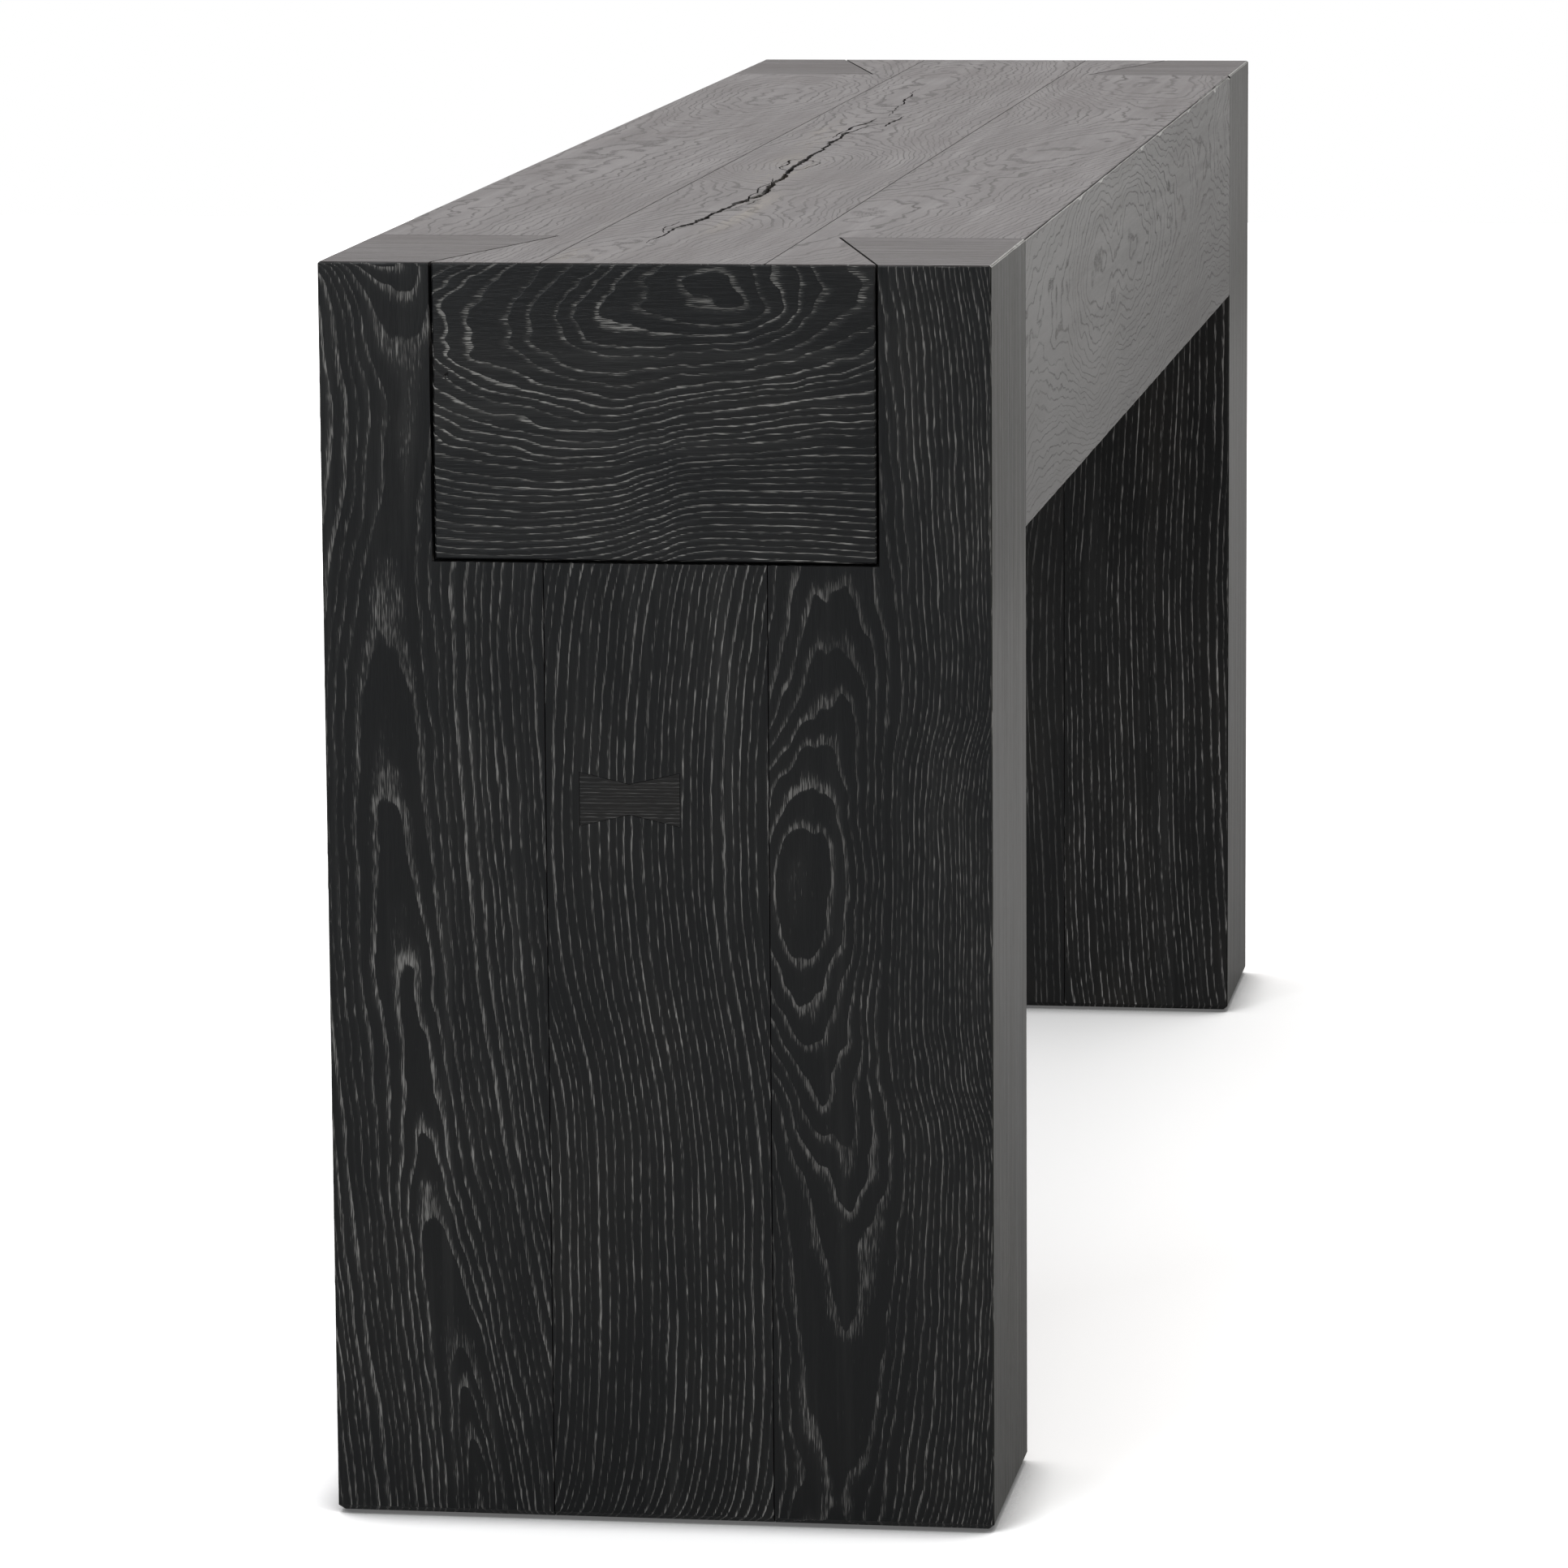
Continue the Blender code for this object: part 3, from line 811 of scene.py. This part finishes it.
check = {
    "line": [
        (-0.770, 0.0246), (-0.6775, 0.0230), (-0.591, 0.0163), (-0.495, 0.0129),
        (-0.427, 0.0063), (-0.306, 0.0118), (-0.178, 0.0182), (-0.058, 0.0195),
        (0.098, 0.0227), (0.165, 0.0176), (0.205, 0.0085),
    ],
    "width": 0.0058,
    "splits": [  # each with its width
        ([(-0.47, 0.0105), (-0.41, 0.0135), (-0.34, 0.0150), (-0.29, 0.0165)], 0.0016),
        ([(-0.235, 0.0150), (-0.205, 0.0075), (-0.165, 0.0060), (-0.130, 0.0150)], 0.0018),
        ([(-0.240, 0.0155), (-0.200, 0.0260), (-0.150, 0.0275), (-0.110, 0.0195)], 0.0020),
        ([(0.06, 0.0270), (0.14, 0.0275), (0.20, 0.0215), (0.25, 0.0200)], 0.0022),
        ([(0.16, 0.0060), (0.22, 0.0030), (0.27, 0.0035)], 0.0030),
        ([(0.27, 0.0145), (0.36, 0.0190), (0.46, 0.0245), (0.56, 0.0295)], 0.0014),
        ([(-0.70, 0.0265), (-0.66, 0.0300), (-0.62, 0.0290)], 0.0012),
        ([(-0.52, 0.0085), (-0.49, 0.0045), (-0.45, 0.0030)], 0.0012),
    ],
    "depth": 0.010,
    "fullWidth": 0.0026,  # from this width on it is as deep as it gets
    "step": 0.003,
    "jag": 0.0030,
    "jagPerMetre": (26, 95),
    "gapePerMetre": 24,
    "edgePerMetre": 210,
    "hair": 0.00015,  # half the least width
    "least": 0.0006,  # the least depth
    "above": 0.0002,  # how far the rims stand over the top before they are cut
    "tall": 0.02,  # of the wedge that cuts it
}

beetleHoles = {
    # x, y and radius of each
    "holes": [(0.857, 0.050, 0.0016), (0.790, 0.0085, 0.0019), (0.868, 0.044, 0.0009)],
    "depth": 0.006,
    "slant": 1.7,  # how much longer than wide
}

dent = {
    "y": 0.1234,
    "z": 0.693,
    "high": 0.0044,
    "wide": 0.0022,
    "deep": 0.0012,
    "lean": 24,  # degrees
    "rough": 0.35,
}


def cutterObject(name, shape):
    mesh = bpy.data.meshes.new(name)
    shape.to_mesh(mesh)
    shape.free()
    cutter = bpy.data.objects.new(name, mesh)
    bpy.context.scene.collection.objects.link(cutter)
    return cutter


def lineAt(places, x):  # how far across the line lies at x, with soft bends
    part = next(number for number in range(1, len(places)) if x <= places[number].x + 1e-6)
    before, after = places[part - 1], places[part]
    turn = (x - before.x) / (after.x - before.x)
    return before.y + (after.y - before.y) * (turn * turn * (3 - 2 * turn))


def groove(name, line, width, seed):  # a jagged wedge that stands on its edge, to cut with
    places = [Vector((x, y, 0)) for x, y in line]
    length = places[-1].x - places[0].x
    count = max(6, round(length / check["step"]))
    coarse, fine = check["jagPerMetre"]
    shape = bmesh.new()
    bmesh.ops.create_grid(shape, x_segments=count, y_segments=2, size=0.5)
    for vert in shape.verts:
        share = vert.co.x + 0.5
        side = round(vert.co.y * 2)  # -1 and 1 at the two rims, 0 at the bottom
        x = places[0].x + share * length
        jag = noise.noise(Vector((x * coarse, seed, 0)))
        jag += 0.55 * noise.noise(Vector((x * fine, seed, 4)))
        opening = abs(noise.noise(Vector((x * check["gapePerMetre"], seed, 8))))
        gape = math.sin(math.pi * share) ** 0.6 * (0.45 + 1.5 * opening)  # narrow at its ends
        edge = noise.noise(Vector((x * check["edgePerMetre"], seed, 3.0 * side))) * 0.7
        y = lineAt(places, x)
        y += jag * check["jag"] + side * (width / 2 * gape * (1 + edge) + check["hair"])
        deep = check["depth"] * min(1, gape * width / check["fullWidth"]) + check["least"]
        vert.co = (x, y, topZ + (check["above"] if side else -deep))
    walls = bmesh.ops.extrude_face_region(shape, geom=shape.faces[:])
    raised = [item for item in walls["geom"] if isinstance(item, bmesh.types.BMVert)]
    bmesh.ops.translate(shape, verts=raised, vec=(0, 0, check["tall"]))
    bmesh.ops.recalc_face_normals(shape, faces=shape.faces)
    return cutterObject(name, shape)


def beetleHole(name, x, y, radius):
    shape = bmesh.new()
    bmesh.ops.create_cone(
        shape,
        cap_ends=True,
        segments=14,
        radius1=radius * 0.8,
        radius2=radius,
        depth=2 * beetleHoles["depth"],
    )
    for vert in shape.verts:
        vert.co = (x + vert.co.x * beetleHoles["slant"], y + vert.co.y, topZ + vert.co.z)
    return cutterObject(name, shape)


def carve(piece, cutters):
    for cutter in cutters:
        step = piece.modifiers.new(cutter.name, "BOOLEAN")
        step.operation = "DIFFERENCE"
        step.object = cutter
    bpy.context.view_layer.update()
    carved = piece.evaluated_get(bpy.context.evaluated_depsgraph_get())
    carved = bpy.data.meshes.new_from_object(carved)
    piece.modifiers.clear()
    piece.data = carved
    for cutter in cutters:
        bpy.data.objects.remove(cutter)


def carveTop(piece):
    cutters = [groove("checkLine", check["line"], check["width"], 1.0)]
    for number, (line, width) in enumerate(check["splits"]):
        cutters.append(groove(f"checkSplit{number}", line, width, 5.0 + number))
    for number, (x, y, radius) in enumerate(beetleHoles["holes"]):
        cutters.append(beetleHole(f"beetleHole{number}", x, y, radius))
    carve(piece, cutters)


def carveDent(piece):
    shape = bmesh.new()
    bmesh.ops.create_icosphere(shape, subdivisions=2, radius=0.5)
    for vert in shape.verts:
        rough = 1 + dent["rough"] * noise.noise(vert.co * 3.1)
        x, y, z = vert.co
        vert.co = (x * 2 * dent["deep"], y * dent["wide"] * rough, z * dent["high"] * rough)
    lean = Matrix.Rotation(math.radians(dent["lean"]), 3, "X")
    bmesh.ops.rotate(shape, verts=shape.verts, cent=(0, 0, 0), matrix=lean)
    bmesh.ops.translate(shape, verts=shape.verts, vec=(cadLow.x, dent["y"], dent["z"]))
    carve(piece, [cutterObject("dentCutter", shape)])


# The figure of each board that shows. A list holds (place along the grain, value) points.

topWood = (0.0118, 0.0089, 0.0092)  # the top and the long sides have gone a little redder
sideWood = (0.0105, 0.0115, 0.0085)

boards = {
    "left_leg_outer_rear": {
        "turn": "end",
        "heart": [
            (0.0, 0.112), (0.06, 0.118), (0.134, 0.129), (0.242, 0.143), (0.389, 0.157),
            (0.536, 0.161), (0.63, 0.150), (0.70, 0.146), (0.76, 0.160),
        ],
        "depth": [
            (0.0, 0.001), (0.036, 0.006), (0.09, 0.0115), (0.134, 0.016), (0.19, 0.0205),
            (0.242, 0.0250), (0.389, 0.0295), (0.495, 0.034), (0.53, 0.0365), (0.57, 0.0394),
            (0.615, 0.0400), (0.66, 0.0396), (0.705, 0.0370), (0.76, 0.027),
        ],
        "gap": 0.0045,
        "band": 0.62,
        "drift": 0.012,
        "curl": 0.007,
        "ripple": 0.004,
        "seed": 3.1,
    },
    "left_leg_outer_centre": {
        "turn": "end",
        "heart": [(0.0, -0.34), (0.2, -0.36), (0.4, -0.34), (0.6, -0.37)],
        "depth": 0.02,
        "gap": 0.0052,
        "drift": 0.036,
        "curl": 0.005,
        "ripple": 0.002,
        "seed": 11.7,
    },
    "left_leg_outer_front": {
        "turn": "end",
        "heart": [
            (0.0, -0.110), (0.10, -0.122), (0.20, -0.122), (0.28, -0.108), (0.384, -0.098),
            (0.46, -0.104), (0.566, -0.121), (0.76, -0.112),
        ],
        "depth": [
            (0.0, 0.0765), (0.06, 0.0755), (0.17, 0.0715), (0.232, 0.0680), (0.277, 0.0650),
            (0.305, 0.0620), (0.335, 0.0592), (0.384, 0.0562), (0.435, 0.0590), (0.47, 0.0620),
            (0.52, 0.0660), (0.566, 0.0695), (0.64, 0.0725), (0.76, 0.0745),
        ],
        "steep": 1.7,
        "skew": -0.30,
        "gap": 0.0046,
        "band": 0.55,
        "drift": 0.012,
        "curl": 0.009,
        "ripple": 0.005,
        "lime": (0.195, 0.19, 0.182),
        "seed": 5.9,
    },
    "tail_cap_left": {
        "turn": "tail",
        "heart": [
            (-0.14, 0.746), (-0.06, 0.750), (-0.037, 0.750), (0.0, 0.741), (0.04, 0.730),
            (0.10, 0.725), (0.14, 0.727),
        ],
        "depth": [
            (-0.14, 0.072), (-0.10, 0.064), (-0.07, 0.056), (-0.037, 0.0495), (-0.01, 0.0525),
            (0.02, 0.0575), (0.05, 0.064), (0.08, 0.071), (0.11, 0.078), (0.14, 0.087),
        ],
        "beyond": 0.066,
        "reach": 0.16,
        "gap": 0.0038,
        "drift": 0.004,
        "curl": 0.009,
        "ripple": 0.006,
        "lime": (0.30, 0.295, 0.28),
        "seed": 21.3,
    },
    "top_board_front": {
        "turn": "top",
        "heart": [
            (-0.9, -0.060), (-0.6, -0.075), (-0.35, -0.105), (0.0, -0.150), (0.3, -0.175),
            (0.6, -0.145), (0.9, -0.120),
        ],
        "depth": [
            (-0.9, 0.090), (-0.55, 0.066), (-0.30, 0.082), (0.0, 0.070), (0.30, 0.088),
            (0.6, 0.066), (0.9, 0.090),
        ],
        "gap": 0.0036,
        "band": 0.36,
        "drift": 0.030,
        "curl": 0.009,
        "ripple": 0.007,
        "nick": 0.0090,
        "wood": topWood,
        "seed": 41.3,
    },
    "top_board_centre": {
        "turn": "top",
        "heart": [
            (-0.9, 0.060), (-0.75, 0.035), (-0.45, 0.006), (-0.18, 0.018), (0.1, 0.020),
            (0.5, 0.026), (0.9, 0.030),
        ],
        "depth": [
            (-0.9, 0.040), (-0.66, 0.052), (-0.45, 0.072), (-0.25, 0.040), (-0.17, 0.020),
            (-0.08, 0.036), (0.15, 0.066), (0.5, 0.050), (0.9, 0.074),
        ],
        "gap": 0.0036,
        "band": 0.36,
        "drift": 0.020,
        "curl": 0.010,
        "ripple": 0.007,
        # painted highlight: paler spots round the check, where the top's sheen catches the light
        "paintedHighlight": [
            (-0.84, 0.048, 0.07, 0.034),
            (-0.20, 0.020, 0.20, 0.030),
            (-0.55, 0.0, 0.22, 0.018),
            (0.12, 0.035, 0.25, 0.020),
        ],
        "wood": topWood,
        "seed": 47.9,
    },
    "top_board_rear": {
        "turn": "top",
        "heart": [(-0.9, 0.205), (-0.4, 0.185), (0.1, 0.150), (0.5, 0.128), (0.9, 0.140)],
        "depth": [
            (-0.9, 0.075), (-0.4, 0.088), (0.0, 0.094), (0.30, 0.068), (0.48, 0.055),
            (0.70, 0.078), (0.9, 0.095),
        ],
        "gap": 0.0036,
        "band": 0.36,
        "drift": 0.030,
        "curl": 0.008,
        "ripple": 0.007,
        "wood": topWood,
        "seed": 53.2,
    },
    "apron_front": {
        "turn": "apron",
        "heart": [
            (-0.73, 0.690), (-0.45, 0.705), (-0.28, 0.697), (-0.07, 0.694), (0.20, 0.690),
            (0.50, 0.715), (0.73, 0.725),
        ],
        "depth": [
            (-0.73, 0.096), (-0.50, 0.084), (-0.38, 0.066), (-0.28, 0.058), (-0.18, 0.063),
            (-0.07, 0.057), (0.04, 0.064), (0.20, 0.082), (0.36, 0.092), (0.50, 0.104),
            (0.62, 0.094), (0.73, 0.080),
        ],
        "gap": 0.0036,
        "band": 0.34,
        "drift": 0.025,
        "curl": 0.011,
        "ripple": 0.007,
        "nick": 0.0090,
        "sheen": [(-0.73, 1.0), (-0.35, 0.95), (0.0, 0.75), (0.73, 0.60)],
        "wood": topWood,
        "seed": 59.6,
    },
}

# every other oak board: how its grain is turned, and where its heart runs
plainBoards = {
    "apron_rear": ("apron", 0.660),
    "soffit_board_front": ("top", -0.150),
    "soffit_board_centre": ("top", 0.020),
    "soffit_board_rear": ("top", 0.110),
    "tail_cap_right": ("tail", 0.60),
    "left_leg_inner_front": ("end", -0.14),
    "left_leg_inner_centre": ("end", 0.02),
    "left_leg_inner_rear": ("end", 0.12),
    "right_leg_inner_front": ("end", -0.30),
    "right_leg_inner_centre": ("end", 0.05),
    "right_leg_inner_rear": ("end", 0.10),
    "right_leg_outer_front": ("end", -0.13),
    "right_leg_outer_centre": ("end", -0.01),
    "right_leg_outer_rear": ("end", 0.14),
    "left_leg_side_front": ("side", -1.05),
    "left_leg_side_rear": ("side", -0.80),
    "right_leg_side_front": ("side", 0.70),
    "right_leg_side_rear": ("side", 0.80),
    "left_leg_cap_front": ("head", 0.95),
    "left_leg_cap_rear": ("head", 0.70),
    "right_leg_cap_front": ("head", -0.95),
    "right_leg_cap_rear": ("head", -0.72),
}

# from where to where a board's grain runs
alongSpan = {
    "top": (-0.9, 0.9),
    "apron": (-0.73, 0.73),
    "end": (0, 0.76),
    "side": (0, 0.76),
    "tail": (-0.14, 0.14),
    "head": (-0.2, 0.2),
}

# what some of the plain boards have of their own
turnFinish = {
    "side": {
        "sheen": [(0, 0.45), (0.1, 0.50), (0.25, 0.75), (0.45, 1.0), (0.6, 0.40), (0.76, 0.24)],
        "wood": sideWood,
        "streak": 5.0,
    },
    "head": {"sheen": 0.18, "wood": topWood, "streak": 5.0},
}
# painted light: the far leg's inner boards stand in the shade under the table, and get a lighter
# wood colour and their own lime, painted to stand in for light there
farInnerPaintedLight = {"wood": (0.010, 0.0102, 0.0104), "lime": (0.42, 0.41, 0.40)}
boardPaintedLight = {
    "right_leg_inner_front": farInnerPaintedLight,
    "right_leg_inner_centre": {**farInnerPaintedLight, "lime": (0.16, 0.157, 0.153)},
    "right_leg_inner_rear": farInnerPaintedLight,
}

plainLook = {
    "gap": 0.0048,
    "drift": 0.02,
    "curl": 0.005,
    "firstSeed": 31.0,
    "seedStep": 3.7,
    "sway": 0.02,
    "depth": 0.045,
    "depthSway": 0.05,
}


def plainFigure(turn, heart, seed):
    start, stop = alongSpan[turn]
    steps = 9 if stop - start > 1 else 6
    places = [start + (stop - start) * step / (steps - 1) for step in range(steps)]

    def swaying(level, sway, perMetre, row):
        return [(p, level + sway * noise.noise(Vector((p * perMetre, seed, row)))) for p in places]

    return {
        "turn": turn,
        "heart": swaying(heart, plainLook["sway"], 3, 1.5),
        "depth": swaying(plainLook["depth"], plainLook["depthSway"], 3.4, 7.5),
        "gap": plainLook["gap"],
        "drift": plainLook["drift"],
        "curl": plainLook["curl"],
        "seed": seed,
    }


for number, (nodeName, (turn, heart)) in enumerate(plainBoards.items()):
    seed = plainLook["firstSeed"] + number * plainLook["seedStep"]
    boards[nodeName] = {
        **plainFigure(turn, heart, seed),
        **turnFinish.get(turn, {}),
        **boardPaintedLight.get(nodeName, {}),
    }

pieces = {nodeName: makeBoard(nodeName, board) for nodeName, board in boards.items()}
print("boards made:", len(boards))

carveTop(pieces["top_board_centre"])
carveDent(pieces["tail_cap_left"])
print("check, beetle holes and dent carved")


# The butterfly key, let into the near leg's centre board.

butterflyKey = {
    "turn": "tail",
    "heart": 0.50,
    "depth": 0.02,
    "gap": 0.0021,
    "drift": 0.003,
    "curl": 0.002,
    "lime": (0.10, 0.098, 0.095),
    "wood": (0.0068, 0.0068, 0.0068),
    "seed": 91.0,
}


def makeKey():
    shape = cadCopy("butterfly_key")
    shape.faces.layers.float.new("worn")
    oak = makeOak("butterflyKeyOak", butterflyKey)
    finishBoard("butterfly_key", shape, oak)


makeKey()
print("key made")


# What can show underneath: the core wood and the glides keep their solids.

corePine = {
    "name": "corePine",
    "rings": {"Scale": 28.0, "Distortion": 5.0, "Detail": 2.0, "Detail Scale": 0.8},
    "speckScale": 160.0,
    "tones": ((0.50, 0.36, 0.21), (0.62, 0.48, 0.31)),
    "roughness": (0.55, 0.75),
    "relief": 0.0003,
}

glideNylon = {
    "name": "glideNylon",
    "speckScale": 420.0,
    "tones": ((0.018, 0.018, 0.018), (0.045, 0.045, 0.044)),
    "roughness": (0.42, 0.62),
    "relief": 0.0001,
}


def makePlainMaterial(look):  # two tones, by rings if it has them and by specks if not
    material = bpy.data.materials.new(look["name"])
    material.use_nodes = True
    tree = material.node_tree
    shader = tree.nodes["Principled BSDF"]
    place = objectPlace(tree)
    inputs = {"Vector": place, "Scale": look["speckScale"], "Detail": 3.0}
    speck = put(tree, "ShaderNodeTexNoise", inputs).outputs["Fac"]
    share = speck
    if "rings" in look:
        inputs = {"Vector": place, **look["rings"]}
        share = put(tree, "ShaderNodeTexWave", inputs, bands_direction="X").outputs["Fac"]
    tree.links.new(blend(tree, share, *look["tones"]), shader.inputs["Base Color"])
    rough = fade(tree, speck, 0.3, 0.7, *look["roughness"])
    tree.links.new(rough, shader.inputs["Roughness"])
    inputs = {"Height": speck, "Distance": look["relief"], "Strength": 0.4}
    bump = put(tree, "ShaderNodeBump", inputs)
    tree.links.new(bump.outputs["Normal"], shader.inputs["Normal"])
    return material


unseen = {
    "core_softwood": makePlainMaterial(corePine),
    "glide_nylon": makePlainMaterial(glideNylon),
}
for part in frame["record"]["subparts"]:
    if part["material_slot"] in unseen:
        node = frame["nodes"][part["node"]]
        node.data.materials.clear()
        node.data.materials.append(unseen[part["material_slot"]])
print("core and glides finished")
